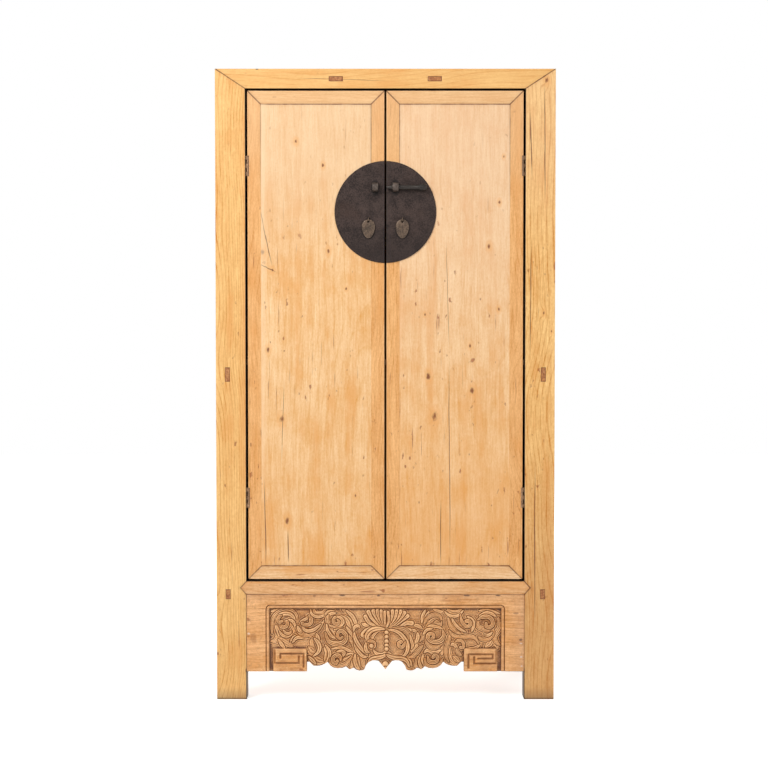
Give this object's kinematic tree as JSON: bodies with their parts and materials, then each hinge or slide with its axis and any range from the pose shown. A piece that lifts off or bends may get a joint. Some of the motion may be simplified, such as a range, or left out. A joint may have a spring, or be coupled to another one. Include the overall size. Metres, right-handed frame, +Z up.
{
  "type": "two-door wooden cabinet",
  "caption": "Tall elm cabinet with flush panelled doors, a round split iron face plate with sliding bolt and drop pulls, and a carved apron between square legs.",
  "frame": {"origin": "on the floor, under the middle of the cabinet's overall box, fittings included", "axes": "+Z up along the posts, +X to the right seen from the front, doors facing -Y"},
  "size_m": [1.02, 0.563, 1.9],
  "materials": {
    "elm_frame": "clear satin oil",
    "elm_panel": "clear satin oil",
    "carved_elm": "worn wax, dark in the recesses",
    "plate_iron": "aged dark patina",
    "bolt_iron": "aged grey patina",
    "fitting_bronze": "aged brown patina",
    "hinge_brass": "tarnished"
  },
  "bodies": {
    "carcass": {"carved_apron": "carved_elm", "floor_board": "elm_panel", "frame_hinge_screws": "hinge_brass", "front_left_post": "elm_frame", "front_right_post": "elm_frame", "hinge_pins": "hinge_brass", "left_bottom_rail": "elm_frame", "left_lower_hinge_frame_leaf": "hinge_brass", "left_lower_side_panel": "elm_panel", "left_middle_rail": "elm_frame", "left_upper_hinge_frame_leaf": "hinge_brass", "left_upper_side_panel": "elm_panel", "lower_back_panel": "elm_panel", "rear_bottom_rail": "elm_frame", "rear_left_post": "elm_frame", "rear_middle_rail": "elm_frame", "rear_right_post": "elm_frame", "right_bottom_rail": "elm_frame", "right_lower_hinge_frame_leaf": "hinge_brass", "right_lower_side_panel": "elm_panel", "right_middle_rail": "elm_frame", "right_upper_hinge_frame_leaf": "hinge_brass", "right_upper_side_panel": "elm_panel", "shelf": "elm_panel", "side_aprons": "elm_frame", "sill_rail": "elm_frame", "top_battens": "elm_frame", "top_front_rail": "elm_frame", "top_left_rail": "elm_frame", "top_panel": "elm_panel", "top_rear_rail": "elm_frame", "top_right_rail": "elm_frame", "upper_back_panel": "elm_panel"},
    "left_door": {"left_bolt_collar": "fitting_bronze", "left_door_battens": "elm_frame", "left_door_bottom_rail": "elm_frame", "left_door_hinge_screws": "hinge_brass", "left_door_panel": "elm_panel", "left_door_top_rail": "elm_frame", "left_face_plate": "plate_iron", "left_hinge_stile": "elm_frame", "left_lower_hinge_door_leaf": "hinge_brass", "left_meeting_stile": "elm_frame", "left_pull_eye": "fitting_bronze", "left_upper_hinge_door_leaf": "hinge_brass"},
    "right_door": {"right_bolt_collar": "fitting_bronze", "right_door_battens": "elm_frame", "right_door_bottom_rail": "elm_frame", "right_door_hinge_screws": "hinge_brass", "right_door_panel": "elm_panel", "right_door_top_rail": "elm_frame", "right_face_plate": "plate_iron", "right_hinge_stile": "elm_frame", "right_lower_hinge_door_leaf": "hinge_brass", "right_meeting_stile": "elm_frame", "right_pull_eye": "fitting_bronze", "right_upper_hinge_door_leaf": "hinge_brass"},
    "bolt": {"bolt": "bolt_iron"},
    "left_pull": {"left_pull": "fitting_bronze"},
    "right_pull": {"right_pull": "fitting_bronze"}
  },
  "joints": [
    {"name": "left_door_hinge", "type": "hinge", "parent": "carcass", "child": "left_door", "pos_m": [-0.4125, -0.2565, 1.111], "axis": [0, 0, -1], "range_deg": [0, 120]},
    {"name": "right_door_hinge", "type": "hinge", "parent": "carcass", "child": "right_door", "pos_m": [0.4125, -0.2565, 1.111], "axis": [0, 0, 1], "range_deg": [0, 120]},
    {"name": "bolt_slide", "type": "slide", "parent": "right_door", "child": "bolt", "axis": [1, 0, 0], "range_m": [-0.06, 0.012]},
    {"name": "left_pull_swing", "type": "hinge", "parent": "left_door", "child": "left_pull", "pos_m": [-0.051, -0.262, 1.4504], "axis": [-1, 0, 0], "range_deg": [0, 90]},
    {"name": "right_pull_swing", "type": "hinge", "parent": "right_door", "child": "right_pull", "pos_m": [0.051, -0.262, 1.4504], "axis": [-1, 0, 0], "range_deg": [0, 90]}
  ]
}
